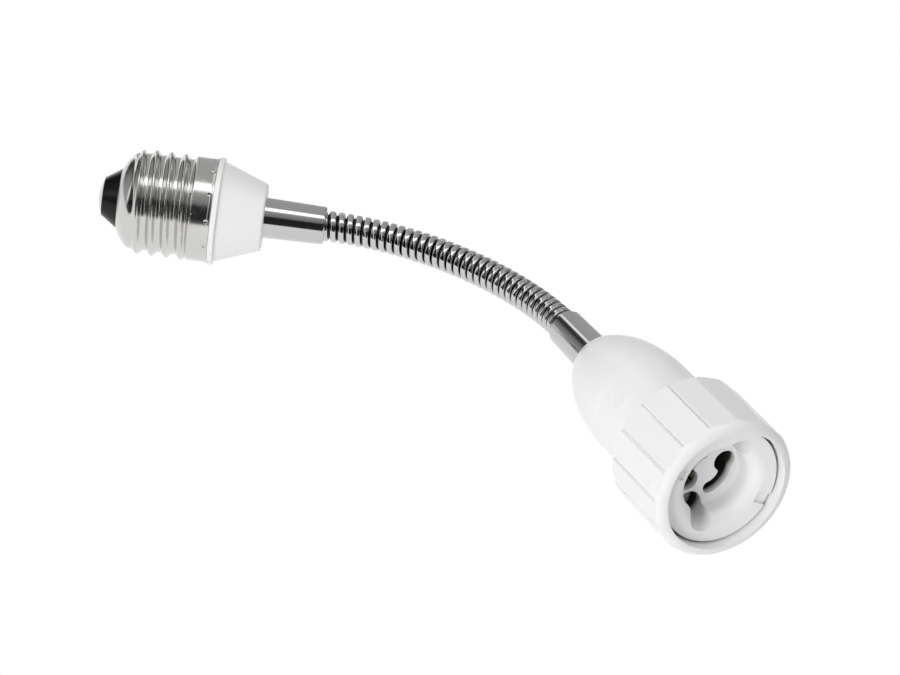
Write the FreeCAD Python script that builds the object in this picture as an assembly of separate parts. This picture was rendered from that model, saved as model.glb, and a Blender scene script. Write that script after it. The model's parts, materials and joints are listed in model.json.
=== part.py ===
import FreeCAD, Part
import os
from math import cos, pi, radians, sin, sqrt, tan

V = FreeCAD.Vector

# Gooseneck lamp socket adapter: an Edison screw base with a flexible metal hose that carries a
# twist-lock lamp socket. The origin is on the base's axis, where the collar's flange meets the
# screw shell. The hose bends in the XY plane, and the socket's mouth looks along -Y.
# Base pieces are drawn along their own z axis, from the tip to the hose, zero at the flange.
# Socket pieces are drawn along their own z axis, out of the mouth, zero at the insert's rim.
# Sizes are in mm.

# Screw shell
THREAD_PITCH = 3.629
THREAD_CREST_R = 13.15
THREAD_ROOT_R = 12.0
THREAD_PHASE = -0.88
THREAD_END = -4.9
THREAD_NARROWING = 1.6
SHELL_WALL = 0.35
SHELL_LENGTH = 23.5
THREAD_LIFT = 3.7
THREAD_START = THREAD_LIFT - SHELL_LENGTH
SHELL_MOUTH_R = 7.4
SHELL_HOLE_R = 6.95
SHOULDER_LENGTH = 3.9
SHOULDER_POWER = 1.8
BAND_R = 12.9
BAND_START = -6.2
BAND_FULL = -4.9
RIM_FLARE = 0.2
RIM_FLARE_LENGTH = 0.8
PUNCH_COUNT = 12
PUNCH_BALL_R = 0.9
PUNCH_DEPTH = 0.22
PUNCH_Z = -0.95
PUNCH_ANGLE = 15.3

# Tip of the base
INSULATOR_HEIGHT = 4.0
INSULATOR_TIP_R = 4.7
INSULATOR_FLANGE_R = 8.4
INSULATOR_SINK = 1.1
INSULATOR_FLANGE_THICKNESS = 1.5
INSULATOR_FLANGE_Z = INSULATOR_SINK - SHELL_LENGTH
INSULATOR_BACK_Z = INSULATOR_FLANGE_Z + INSULATOR_FLANGE_THICKNESS
CONTACT_R = 4.6
CONTACT_BULGE = 1.1
CONTACT_SHEET = 0.5
CONTACT_RIVET_R = 1.3
CONTACT_HEAD_R = 2.3
CONTACT_HEAD_HEIGHT = 0.6
INSULATOR_EDGE_ROUND = 0.3

# Collar
FLANGE_R = 13.4
FLANGE_THICKNESS = 1.5
FLANGE_ROUND = 0.35
COLLAR_LENGTH = 12.8
COLLAR_FOOT_R = 12.45
COLLAR_NOSE_R = 8.3
COLLAR_NOSE_ROUND = 0.9
COLLAR_WALL = 1.9
SPIGOT_LENGTH = 3.4
SPIGOT_WALL = 1.3

# Ferrules and what holds them
FERRULE_LENGTH = 15.2
FERRULE_FOOT_R = 5.05
FERRULE_LIP_R = 4.7
FERRULE_LIP_ROUND = 0.6
FERRULE_SEAT_DEPTH = 8.0
FERRULE_BORE_R = 2.5
STEM_R = 3.95
STEM_LENGTH = 7.8
END_WALL = 3.6
WASHER_R = 5.9
WASHER_THICKNESS = 0.8
NUT_ACROSS_FLATS = 10.4
NUT_HEIGHT = 2.8
NUT_EDGE = 0.7

# Hose
RIDGE_R = 3.84
VALLEY_R = 3.25
RIDGE_PITCH = 2.177
VALLEY_WIDTH = 0.65
JOINT_GAP = 0.95
RIDGE_ROUND = 0.28
RIDGES_PER_LINK = 2
LINK_COUNT = 16
SLEEVE_R = 2.98
SLEEVE_REACH = 0.9
HOSE_BORE_R = 2.45
HEAD_BORE_R = 3.36
HEAD_DEPTH = 1.62
BASE_END_REACH = 3.02
SOCKET_END_REACH = 1.35
HOSE_TURN = 59.1
BEND_AT_BASE = 1.37
BEND_IN_MIDDLE = 1.0
BEND_AT_SOCKET = 1.18

# Wires
WIRE_R = 0.95
WIRE_OFFSET = 1.05
LIVE_CORNER_R = 8.0
NEUTRAL_CORNER_R = 3.5
JOINT_RUN = 1.0
LIVE_CORNER_Z = -10.0
NEUTRAL_END_X = -10.5
NEUTRAL_END_Z = -12.0
NEUTRAL_CORNER_Z = -7.5
STEM_ENTRY_Z = 3.0
SOCKET_CORNER_Z = -46.0
RIVET_CORNER_Z = -27.0
SOLDER_FOOT_R = 1.5
SOLDER_LENGTH = 1.4
SHELL_SOLDER_R = 1.7
SHELL_SOLDER_SHIFT = 0.5
SHELL_SOLDER_DROP = 0.9

# Housing
HOUSING_REAR = -60.6
HOUSING_FRONT = -12.0
HOUSING_R = 13.5
HOUSING_WALL = 1.8
DOME_START = -36.0
DOME_CUT_OFF = 2.15
DOME_LENGTH = DOME_START - HOUSING_REAR + DOME_CUT_OFF
DOME_CREASE = 0.1
BOSS_R = 2.5
BOSS_LENGTH = 10.0
BOSS_RIB = 1.6
PILOT_EXTRA_DEPTH = 0.6

# Insert
INSERT_EDGE_INSET = 0.1
INSERT_STEP = 1.4
INSERT_LIP_WIDTH = 2.6
INSERT_BODY_R = HOUSING_R - INSERT_EDGE_INSET
INSERT_R = INSERT_BODY_R + INSERT_STEP
INSERT_SPIGOT_R = HOUSING_R - HOUSING_WALL - INSERT_EDGE_INSET
INSERT_BACK = -15.5
INSERT_RIM_ROUND = 0.3
MOUTH_R = INSERT_R - INSERT_LIP_WIDTH
MOUTH_ROUND = 3.7
CUP_DEPTH = 7.2
CUP_FLOOR_ROUND = 1.0
FLOOR_THICKNESS = 2.0
POCKET_R = 8.3
POCKET_SCREW_WALL_R = 4.1
PILLAR_R = 2.1
PIN_CIRCLE_R = 5.0
PIN_ENTRY_R = 2.75
SLOT_HALF_WIDTH = 1.6
KEYHOLE_ANGLE = 21.0
KEYHOLE_SWEEP = 93.0
SCREW_CIRCLE_R = 9.0
SCREW_ANGLE = 67.6
COUNTERBORE_R = 3.25
SCREW_SEAT = -11.6
SCREW_R = 1.3
SCREW_HEAD_R = 2.5
SCREW_HEAD_HEIGHT = 1.4
SCREW_HEAD_ROUND = 0.5
SCREW_LENGTH = 10.1
SCREW_SLOT_WIDTH = 0.6
SCREW_SLOT_DEPTH = 0.6
SCREW_SLOT_TURN = 35.0
NOTCH_ANGLE = -24.0
NOTCH_WIDTH = 3.0
NOTCH_DEPTH = 0.8

# Grip ring
RING_REAR = -22.5
RING_SHOULDER = -19.8
RING_FRONT = 2.4
RING_PANELS = 15
RING_TURN = -94.5
RING_BORE_GAP = 0.1
RING_FOOT_WALL = 0.5
RING_MOUTH_GAP = 0.6
RING_WALL = 2.3
RING_SHOULDER_INSET = 0.2
RING_LIP_RISE = 0.4
RING_BORE_R = HOUSING_R + RING_BORE_GAP
RING_REAR_R = RING_BORE_R + RING_FOOT_WALL
RING_MOUTH_R = INSERT_R + RING_MOUTH_GAP
RING_APOTHEM = RING_MOUTH_R + RING_WALL
RING_SHOULDER_R = RING_APOTHEM - RING_SHOULDER_INSET
RING_OUTER_R = RING_APOTHEM + RING_LIP_RISE
RING_STEP = -5.5
RING_EDGE_HEIGHT = 0.5
GROOVE_DEPTH = 0.75
GROOVE_WIDTH = 1.15
GROOVE_FRONT = 0.5
GROOVE_CUT_PAST = 0.3

# Contacts behind the keyholes
PLATE_THICKNESS = 1.4
PLATE_R = 8.9
PLATE_SCREW_R = 0.9
PLATE_SCREW_LENGTH = 5.0
PLATE_SCREW_HEAD_R = 1.8
PLATE_SCREW_HEAD_HEIGHT = 1.2
HOLE_END_GAP = 0.5
LEAF_THICKNESS = 0.45
LEAF_WIDTH = 3.4
LEAF_TIP = -1.5
LEAF_END = 1.7
LEAF_FOOT_START = 2.9
LEAF_FOOT_END = 5.9
LEAF_LIFT = 2.4
RIVET_R = 0.8
RIVET_HEAD_R = 1.35
RIVET_HEAD_HEIGHT = 0.5
RIVET_AT = 4.4

# Clearances
SEAT_GAP = 0.05
HOSE_GAP = 0.08
BOSS_GAP = 0.3
SCREW_GAP = 0.15
THREAD_GAP = 0.03
STACK_GAP = 0.02

# Places that follow from the sizes above
SHELL_INNER_R = BAND_R - SHELL_WALL
FERRULE_LIP_Z = COLLAR_LENGTH + FERRULE_LENGTH
FIRST_JOINT_Z = FERRULE_LIP_Z + BASE_END_REACH
LAST_JOINT_Z = HOUSING_REAR - FERRULE_LENGTH - SOCKET_END_REACH
LINK_LENGTH = RIDGES_PER_LINK * RIDGE_PITCH
JOINT_COUNT = LINK_COUNT + 1
HOUSING_INNER_R = HOUSING_R - HOUSING_WALL
HOUSING_SEAT = HOUSING_REAR + END_WALL
CUP_FLOOR = -CUP_DEPTH
POCKET_TOP = CUP_FLOOR - FLOOR_THICKNESS
PLATE_FRONT = INSERT_BACK - SEAT_GAP
PLATE_BACK = PLATE_FRONT - PLATE_THICKNESS
RIVET_TAIL_Z = PLATE_BACK - RIVET_HEAD_HEIGHT
TIP_WIRE_Z = INSULATOR_BACK_Z + CONTACT_HEAD_HEIGHT + SOLDER_LENGTH + 2 * STACK_GAP
RIVET_WIRE_Z = RIVET_TAIL_Z - SOLDER_LENGTH - 2 * STACK_GAP


def turned(profile):
    # Solid of revolution from (radius, z) corners.
    corners = [V(r, 0, z) for r, z in profile]
    face = Part.Face(Part.makePolygon(corners + [corners[0]]))
    return face.revolve(V(0, 0, 0), V(0, 0, 1), 360)


def rod(radius, z0, z1, x=0.0, y=0.0):
    return Part.makeCylinder(radius, z1 - z0, V(x, y, z0))


def tube(outer, inner, z0, z1):
    return rod(outer, z0, z1).cut(rod(inner, z0 - 1, z1 + 1))


def polar(radius, angle, z=0.0):
    return V(radius * cos(radians(angle)), radius * sin(radians(angle)), z)


def rod_at(radius, z0, z1, circle_r, angle):
    centre = polar(circle_r, angle)
    return rod(radius, z0, z1, centre.x, centre.y)


def spun(shape, angle):
    copy = shape.copy()
    copy.rotate(V(0, 0, 0), V(0, 0, 1), angle)
    return copy


def pair(shape):
    # The same shape twice, half a turn apart.
    return [shape, spun(shape, 180)]


def fillet_circles(shape, radius, places):
    # Rounds the full circles at the given (radius, z) places.
    picked = []
    for e in shape.Edges:
        if not isinstance(e.Curve, Part.Circle):
            continue
        c = e.Curve
        for r, z in places:
            on_axis = abs(c.Center.x) < 0.01 and abs(c.Center.y) < 0.01
            if on_axis and abs(c.Radius - r) < 0.01 and abs(c.Center.z - z) < 0.01:
                picked.append(e)
    return shape.makeFillet(radius, picked)


def smooth(t):
    t = max(0.0, min(1.0, t))
    return t * t * (3 - 2 * t)


# Screw shell and tip

def shoulder_r(z):
    t = (z + SHELL_LENGTH) / SHOULDER_LENGTH
    return SHELL_MOUTH_R + (THREAD_ROOT_R - SHELL_MOUTH_R) * (1 - (1 - t) ** SHOULDER_POWER)


def shell_outline():
    # Outside of the shell without its thread, from the mouth to the rim: (radius, z).
    shoulder_end = SHOULDER_LENGTH - SHELL_LENGTH
    outline = []
    for i in range(8):
        z = -SHELL_LENGTH + SHOULDER_LENGTH * (i / 8) ** 1.3
        outline.append((shoulder_r(z), z))
    rows = int(round(-shoulder_end / (THREAD_PITCH / 8)))
    for i in range(rows + 1):
        z = shoulder_end * (1 - i / rows)
        r = THREAD_ROOT_R
        r += (BAND_R - THREAD_ROOT_R) * smooth((z - BAND_START) / (BAND_FULL - BAND_START))
        r += RIM_FLARE * smooth(1 + z / RIM_FLARE_LENGTH)
        outline.append((r, z))
    return outline


def thread_height(angle, z):
    # Rolled thread above its root: narrow round crests, wide roots, run out at both ends.
    turn = (z - THREAD_PHASE) / THREAD_PITCH - angle / (2 * pi)
    crest = ((1 + cos(2 * pi * turn)) / 2) ** THREAD_NARROWING
    fade = smooth((z - THREAD_START) / (THREAD_PITCH / 3))
    fade *= smooth((THREAD_END - z) / (THREAD_PITCH / 3))
    return (THREAD_CREST_R - THREAD_ROOT_R) * crest * fade


def threaded_core(inset, top):
    # Solid inside the shell's outline moved inwards by the inset, flat at both ends.
    outline = shell_outline()
    columns = 36
    grid = []
    for i, (r, z) in enumerate(outline):
        before = outline[max(i - 1, 0)]
        after = outline[min(i + 1, len(outline) - 1)]
        dr, dz = after[0] - before[0], after[1] - before[1]
        size = sqrt(dr * dr + dz * dz)
        nr, nz = (dz / size, -dr / size) if z < THREAD_START else (1.0, 0.0)
        grid.append((r - inset * nr, z - inset * nz, z))
    if top > 0:
        grid.append((grid[-1][0], top, 0.0))
    rows = []
    for r, z, source_z in grid:
        row = []
        for k in range(columns):
            angle = 2 * pi * k / columns
            radius = r + thread_height(angle, source_z)
            row.append(V(radius * cos(angle), radius * sin(angle), z))
        rows.append(row + [row[0]])
    surface = Part.BSplineSurface()
    surface.interpolate(rows)
    side = surface.toShape()
    caps = []
    for level in (rows[0][0].z, rows[-1][0].z):
        rim = [e for e in side.Edges if e.BoundBox.ZLength < 0.01 and abs(e.BoundBox.ZMin - level) < 0.01]
        caps.append(Part.Face(Part.Wire(rim)))
    shell = Part.Shell([side] + caps)
    shell.sewShape()
    solid = Part.Solid(shell)
    if solid.Volume < 0:
        solid.reverse()
    return solid


def punch_marks():
    # Balls that dent the band as the centre punch does.
    centre_r = BAND_R + PUNCH_BALL_R - PUNCH_DEPTH
    ball = Part.makeSphere(PUNCH_BALL_R, V(centre_r, 0, PUNCH_Z))
    return [spun(ball, PUNCH_ANGLE + 360 * i / PUNCH_COUNT) for i in range(PUNCH_COUNT)]


def screw_shell(inside):
    hole = rod(SHELL_HOLE_R, -SHELL_LENGTH - 1, -SHELL_LENGTH + 3)
    return threaded_core(0.0, 0.0).cut(inside).cut(hole).cut(punch_marks())


def tip_insulator():
    foot = -SHELL_LENGTH - SEAT_GAP
    tip = -SHELL_LENGTH - INSULATOR_HEIGHT
    bore = CONTACT_RIVET_R + SEAT_GAP
    neck = SHELL_HOLE_R - SEAT_GAP
    body = turned([
        (bore, tip), (INSULATOR_TIP_R, tip), (SHELL_MOUTH_R, foot), (neck, foot),
        (neck, INSULATOR_FLANGE_Z), (INSULATOR_FLANGE_R, INSULATOR_FLANGE_Z),
        (INSULATOR_FLANGE_R, INSULATOR_BACK_Z), (bore, INSULATOR_BACK_Z)])
    return fillet_circles(body, INSULATOR_EDGE_ROUND, [(INSULATOR_TIP_R, tip)])


def tip_contact():
    # Domed sheet disc with its rivet, closed over behind the insulator.
    seat = -SHELL_LENGTH - INSULATOR_HEIGHT
    sphere_r = (CONTACT_R ** 2 + CONTACT_BULGE ** 2) / (2 * CONTACT_BULGE)
    centre = seat - CONTACT_BULGE + sphere_r
    dome = Part.makeSphere(sphere_r, V(0, 0, centre))
    hollow = Part.makeSphere(sphere_r - CONTACT_SHEET, V(0, 0, centre))
    disc = dome.cut(hollow).common(rod(CONTACT_R + 1, seat - CONTACT_BULGE - 1, seat - STACK_GAP))
    back = INSULATOR_BACK_Z + STACK_GAP
    stem = rod(CONTACT_RIVET_R, seat - CONTACT_BULGE + CONTACT_SHEET / 2, back)
    head = rod(CONTACT_HEAD_R, back, back + CONTACT_HEAD_HEIGHT)
    return disc.fuse([stem, head]).removeSplitter()


def solder(z0, z1):
    # Soldered cone from a wire's end at z1 down to z0.
    return Part.makeCone(SOLDER_FOOT_R, WIRE_R, z1 - z0, V(0, 0, z0))


def shell_solder(inside):
    # Soldered joint between the neutral wire's end and the shell's inner wall.
    centre = V(NEUTRAL_END_X - SHELL_SOLDER_SHIFT, 0, NEUTRAL_END_Z - SHELL_SOLDER_DROP)
    ball = Part.makeSphere(SHELL_SOLDER_R, centre)
    room = inside.common(rod(THREAD_CREST_R, NEUTRAL_END_Z - 2 * SHELL_SOLDER_R, NEUTRAL_END_Z))
    return ball.common(room)


# Collar and ferrules

def base_collar():
    cone_top = COLLAR_LENGTH
    slope = (COLLAR_FOOT_R - COLLAR_NOSE_R) / (COLLAR_LENGTH - FLANGE_THICKNESS)
    seat = COLLAR_LENGTH - END_WALL
    cavity_top_r = COLLAR_FOOT_R - slope * (seat - FLANGE_THICKNESS) - COLLAR_WALL
    cavity_foot_r = COLLAR_FOOT_R - COLLAR_WALL
    spigot_r = SHELL_INNER_R - 2 * SEAT_GAP
    hole = STEM_R + SEAT_GAP
    body = turned([
        (spigot_r - SPIGOT_WALL, -SPIGOT_LENGTH), (spigot_r, -SPIGOT_LENGTH), (spigot_r, SEAT_GAP),
        (FLANGE_R, SEAT_GAP), (FLANGE_R, FLANGE_THICKNESS), (COLLAR_FOOT_R, FLANGE_THICKNESS),
        (COLLAR_NOSE_R, cone_top), (hole, cone_top), (hole, seat), (cavity_top_r, seat),
        (cavity_foot_r, FLANGE_THICKNESS)])
    body = fillet_circles(body, COLLAR_NOSE_ROUND, [(COLLAR_NOSE_R, cone_top)])
    return fillet_circles(body, FLANGE_ROUND, [(FLANGE_R, FLANGE_THICKNESS), (FLANGE_R, SEAT_GAP)])


def ferrule():
    # Foot at z = 0 with the threaded stem below it, lip at the top. The hose end sits in the lip.
    seat = FERRULE_LENGTH - FERRULE_SEAT_DEPTH
    body = turned([
        (FERRULE_BORE_R, -STEM_LENGTH), (STEM_R, -STEM_LENGTH), (STEM_R, 0), (FERRULE_FOOT_R, 0),
        (FERRULE_LIP_R, FERRULE_LENGTH), (RIDGE_R + HOSE_GAP, FERRULE_LENGTH),
        (RIDGE_R + HOSE_GAP, seat), (FERRULE_BORE_R, seat)])
    return fillet_circles(body, FERRULE_LIP_ROUND, [(FERRULE_LIP_R, FERRULE_LENGTH)])


def stem_washer():
    top = -END_WALL
    return tube(WASHER_R, STEM_R + SEAT_GAP, top - WASHER_THICKNESS, top)


def stem_nut():
    top = -END_WALL - WASHER_THICKNESS
    corner_r = NUT_ACROSS_FLATS / 2 / cos(radians(30))
    points = [polar(corner_r, 60 * i + 30, top - NUT_HEIGHT) for i in range(7)]
    hexagon = Part.Face(Part.makePolygon(points)).extrude(V(0, 0, NUT_HEIGHT))
    low = top - NUT_HEIGHT
    edge_cone = turned([
        (0, low), (corner_r - NUT_EDGE, low), (corner_r, low + NUT_EDGE), (corner_r, top), (0, top)])
    return hexagon.common(edge_cone).cut(rod(STEM_R + THREAD_GAP, low - 1, top + 1))


# Hose pieces, drawn along z

def hose_link():
    # Two ridges with a valley between, a head for the sleeve before it and a sleeve of its own.
    # Its first joint is at z = 0 and its second at z = LINK_LENGTH.
    head = JOINT_GAP / 2
    tail = LINK_LENGTH - JOINT_GAP / 2
    middle = LINK_LENGTH / 2
    profile = [
        (HEAD_BORE_R, head), (RIDGE_R, head), (RIDGE_R, middle - VALLEY_WIDTH / 2),
        (VALLEY_R, middle - VALLEY_WIDTH / 2), (VALLEY_R, middle + VALLEY_WIDTH / 2),
        (RIDGE_R, middle + VALLEY_WIDTH / 2), (RIDGE_R, tail), (SLEEVE_R, tail),
        (SLEEVE_R, LINK_LENGTH + SLEEVE_REACH), (HOSE_BORE_R, LINK_LENGTH + SLEEVE_REACH),
        (HOSE_BORE_R, HEAD_DEPTH), (HEAD_BORE_R, HEAD_DEPTH)]
    ridges = [(RIDGE_R, head), (RIDGE_R, middle - VALLEY_WIDTH / 2),
              (RIDGE_R, middle + VALLEY_WIDTH / 2), (RIDGE_R, tail)]
    return fillet_circles(turned(profile), RIDGE_ROUND, ridges)


def hose_base_end():
    # From the base ferrule's seat to the first joint, in the base's own frame.
    seat = FERRULE_LIP_Z - FERRULE_SEAT_DEPTH + SEAT_GAP
    tail = FIRST_JOINT_Z - JOINT_GAP / 2
    valley = FIRST_JOINT_Z - RIDGE_PITCH
    low, high = valley - VALLEY_WIDTH / 2, valley + VALLEY_WIDTH / 2
    body = turned([
        (HOSE_BORE_R, seat), (RIDGE_R, seat), (RIDGE_R, low), (VALLEY_R, low), (VALLEY_R, high),
        (RIDGE_R, high), (RIDGE_R, tail), (SLEEVE_R, tail),
        (SLEEVE_R, FIRST_JOINT_Z + SLEEVE_REACH), (HOSE_BORE_R, FIRST_JOINT_Z + SLEEVE_REACH)])
    return fillet_circles(body, RIDGE_ROUND, [(RIDGE_R, low), (RIDGE_R, high), (RIDGE_R, tail)])


def hose_socket_end():
    # From the last joint to the socket ferrule's seat, in the socket's own frame.
    head = LAST_JOINT_Z + JOINT_GAP / 2
    seat = HOUSING_REAR - FERRULE_LENGTH + FERRULE_SEAT_DEPTH - SEAT_GAP
    body = turned([
        (HEAD_BORE_R, head), (RIDGE_R, head), (RIDGE_R, seat), (HOSE_BORE_R, seat),
        (HOSE_BORE_R, LAST_JOINT_Z + HEAD_DEPTH), (HEAD_BORE_R, LAST_JOINT_Z + HEAD_DEPTH)])
    return fillet_circles(body, RIDGE_ROUND, [(RIDGE_R, head)])


# Socket pieces

def dome_profile(radius, length, z_from, steps):
    # Points on the elliptic dome from the given height up to its tangent line.
    points = []
    for i in range(steps + 1):
        z = DOME_START - (DOME_START - z_from) * cos(pi / 2 * i / steps)
        points.append(V(radius * sqrt(max(0.0, 1 - ((z - DOME_START) / length) ** 2)), 0, z))
    return points


def bullet(radius, length, z_from, z_to):
    # Solid bullet: flat at its rear end, elliptic dome, then a cylinder.
    points = dome_profile(radius, length, z_from, 12)
    curve = Part.BSplineCurve()
    curve.interpolate(points, InitialTangent=points[1] - points[0], FinalTangent=V(0, 0, 1))
    first, last = points[0], points[-1]
    edges = [
        Part.makeLine(V(0, 0, first.z), first), curve.toShape(),
        Part.makeLine(last, V(radius, 0, z_to)), Part.makeLine(V(radius, 0, z_to), V(0, 0, z_to)),
        Part.makeLine(V(0, 0, z_to), V(0, 0, first.z))]
    return Part.Face(Part.Wire(edges)).revolve(V(0, 0, 0), V(0, 0, 1), 360)


def housing():
    outer = bullet(HOUSING_R, DOME_LENGTH, HOUSING_REAR, HOUSING_FRONT)
    inner = bullet(HOUSING_INNER_R, DOME_LENGTH - HOUSING_WALL, HOUSING_SEAT, HOUSING_FRONT + 1)
    body = outer.cut(inner)
    top = INSERT_BACK - SEAT_GAP
    for boss in pair(screw_boss(top)):
        body = body.fuse(boss.common(rod(HOUSING_INNER_R + 0.5, top - BOSS_LENGTH, top)))
    pilot_end = SCREW_SEAT - SCREW_LENGTH - PILOT_EXTRA_DEPTH
    pilots = pair(rod_at(SCREW_R + STACK_GAP, pilot_end, top + 1, SCREW_CIRCLE_R, SCREW_ANGLE))
    body = body.cut(pilots + [rod(STEM_R + SEAT_GAP, HOUSING_REAR - 1, HOUSING_SEAT + 1)])
    crease = turned([
        (HOUSING_R - DOME_CREASE, DOME_START), (HOUSING_R + 0.1, DOME_START - 2 * DOME_CREASE),
        (HOUSING_R + 0.1, DOME_START + 2 * DOME_CREASE)])
    return body.cut(crease).removeSplitter()


def screw_boss(top):
    boss = rod_at(BOSS_R, top - BOSS_LENGTH, top, SCREW_CIRCLE_R, SCREW_ANGLE)
    reach = HOUSING_INNER_R + 0.5 - SCREW_CIRCLE_R
    rib = Part.makeBox(reach, BOSS_RIB, BOSS_LENGTH, V(SCREW_CIRCLE_R, -BOSS_RIB / 2, top - BOSS_LENGTH))
    return boss.fuse(spun(rib, SCREW_ANGLE))


def grip_ring():
    lip_r = RING_OUTER_R - RING_MOUTH_R
    lip_z = RING_FRONT - lip_r
    middle = V(RING_MOUTH_R + lip_r * cos(pi / 4), 0, lip_z + lip_r * sin(pi / 4))
    lip_end = V(RING_MOUTH_R, 0, RING_FRONT)
    corners = [
        lip_end, V(RING_MOUTH_R, 0, RING_STEP), V(RING_BORE_R, 0, RING_STEP), V(RING_BORE_R, 0, RING_REAR),
        V(RING_REAR_R, 0, RING_REAR), V(RING_SHOULDER_R, 0, RING_SHOULDER),
        V(RING_OUTER_R, 0, RING_SHOULDER + RING_EDGE_HEIGHT), V(RING_OUTER_R, 0, lip_z)]
    edges = [Part.makeLine(a, b) for a, b in zip(corners, corners[1:])]
    edges.append(Part.Arc(corners[-1], middle, lip_end).toShape())
    envelope = Part.Face(Part.Wire(edges)).revolve(V(0, 0, 0), V(0, 0, 1), 360)
    step = 360 / RING_PANELS
    corner_r = RING_APOTHEM / cos(radians(step / 2))
    groove_at = RING_TURN + step / 2
    points = [polar(corner_r, groove_at + step * i, RING_REAR - 1) for i in range(RING_PANELS + 1)]
    prism = Part.Face(Part.makePolygon(points)).extrude(V(0, 0, RING_FRONT - RING_REAR + 2))
    ring = envelope.common(prism)
    top = corner_r + GROOVE_CUT_PAST
    half = GROOVE_WIDTH / 2 * (GROOVE_DEPTH + GROOVE_CUT_PAST) / GROOVE_DEPTH
    start = RING_REAR - 1
    vee = Part.Face(Part.makePolygon([
        V(corner_r - GROOVE_DEPTH, 0, start), V(top, half, start), V(top, -half, start),
        V(corner_r - GROOVE_DEPTH, 0, start)])).extrude(V(0, 0, GROOVE_FRONT - start))
    return ring.cut([spun(vee, groove_at + step * i) for i in range(RING_PANELS)])


def keyhole():
    # Round entry and the curved slot that runs clockwise from it, seen from the front.
    z0, z1 = POCKET_TOP - 1, CUP_FLOOR + 1
    entry = rod_at(PIN_ENTRY_R, z0, z1, PIN_CIRCLE_R, KEYHOLE_ANGLE)
    end = rod_at(SLOT_HALF_WIDTH, z0, z1, PIN_CIRCLE_R, KEYHOLE_ANGLE - KEYHOLE_SWEEP)
    low, high = PIN_CIRCLE_R - SLOT_HALF_WIDTH, PIN_CIRCLE_R + SLOT_HALF_WIDTH
    section = Part.Face(Part.makePolygon([
        V(low, 0, z0), V(high, 0, z0), V(high, 0, z1), V(low, 0, z1), V(low, 0, z0)]))
    slot = section.revolve(V(0, 0, 0), V(0, 0, 1), KEYHOLE_SWEEP)
    return [entry, end, spun(slot, KEYHOLE_ANGLE - KEYHOLE_SWEEP)]


def socket_insert():
    cup_r = MOUTH_R - MOUTH_ROUND
    arc = Part.Arc(
        V(MOUTH_R, 0, 0), V(MOUTH_R - MOUTH_ROUND * sin(pi / 4), 0, MOUTH_ROUND * (cos(pi / 4) - 1)),
        V(cup_r, 0, -MOUTH_ROUND)).toShape()
    corners = [
        V(cup_r, 0, -MOUTH_ROUND), V(cup_r, 0, CUP_FLOOR), V(0, 0, CUP_FLOOR), V(0, 0, INSERT_BACK),
        V(INSERT_SPIGOT_R, 0, INSERT_BACK), V(INSERT_SPIGOT_R, 0, HOUSING_FRONT + SEAT_GAP),
        V(INSERT_BODY_R, 0, HOUSING_FRONT + SEAT_GAP), V(INSERT_BODY_R, 0, RING_STEP + SEAT_GAP),
        V(INSERT_R, 0, RING_STEP + SEAT_GAP), V(INSERT_R, 0, 0), V(MOUTH_R, 0, 0)]
    edges = [arc] + [Part.makeLine(a, b) for a, b in zip(corners, corners[1:])]
    body = Part.Face(Part.Wire(edges)).revolve(V(0, 0, 0), V(0, 0, 1), 360)
    body = fillet_circles(body, INSERT_RIM_ROUND, [(INSERT_R, 0)])
    body = fillet_circles(body, CUP_FLOOR_ROUND, [(cup_r, CUP_FLOOR)])
    pocket = rod(POCKET_R, INSERT_BACK - 1, POCKET_TOP)
    screws = (SCREW_ANGLE, SCREW_ANGLE + 180)
    posts = [rod_at(POCKET_SCREW_WALL_R, INSERT_BACK - 2, POCKET_TOP + 1, SCREW_CIRCLE_R, a) for a in screws]
    pocket = pocket.cut(posts + [rod(PILLAR_R, INSERT_BACK - 2, POCKET_TOP + 1)])
    cuts = [pocket, rod(PLATE_SCREW_R + STACK_GAP, INSERT_BACK - 1, INSERT_BACK + PLATE_SCREW_LENGTH)]
    for a in screws:
        cuts.append(rod_at(COUNTERBORE_R, SCREW_SEAT, 1, SCREW_CIRCLE_R, a))
        cuts.append(rod_at(SCREW_R + SCREW_GAP, INSERT_BACK - 1, SCREW_SEAT + 1, SCREW_CIRCLE_R, a))
    for cutter in keyhole():
        cuts += pair(cutter)
    notch = Part.makeBox(INSERT_R - MOUTH_R + 3, NOTCH_WIDTH, NOTCH_DEPTH + 1,
                         V(MOUTH_R - 1, -NOTCH_WIDTH / 2, -NOTCH_DEPTH))
    cuts += pair(spun(notch, NOTCH_ANGLE))
    return body.cut(cuts)


def insert_screw():
    seat = SCREW_SEAT + STACK_GAP
    shank = rod_at(SCREW_R, SCREW_SEAT - SCREW_LENGTH, seat, SCREW_CIRCLE_R, SCREW_ANGLE)
    head = rod_at(SCREW_HEAD_R, seat, seat + SCREW_HEAD_HEIGHT, SCREW_CIRCLE_R, SCREW_ANGLE)
    edge = [e for e in head.Edges if abs(e.BoundBox.ZMin - seat - SCREW_HEAD_HEIGHT) < 0.01]
    head = head.makeFillet(SCREW_HEAD_ROUND, edge)
    slot_floor = seat + SCREW_HEAD_HEIGHT - SCREW_SLOT_DEPTH
    slot = Part.makeBox(2 * SCREW_HEAD_R + 1, SCREW_SLOT_WIDTH, SCREW_SLOT_DEPTH + 1,
                        V(-SCREW_HEAD_R - 0.5, -SCREW_SLOT_WIDTH / 2, slot_floor))
    slot.rotate(V(0, 0, 0), V(0, 0, 1), SCREW_ANGLE + SCREW_SLOT_TURN)
    slot.translate(polar(SCREW_CIRCLE_R, SCREW_ANGLE))
    return head.cut(slot).fuse(shank).removeSplitter()


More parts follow.
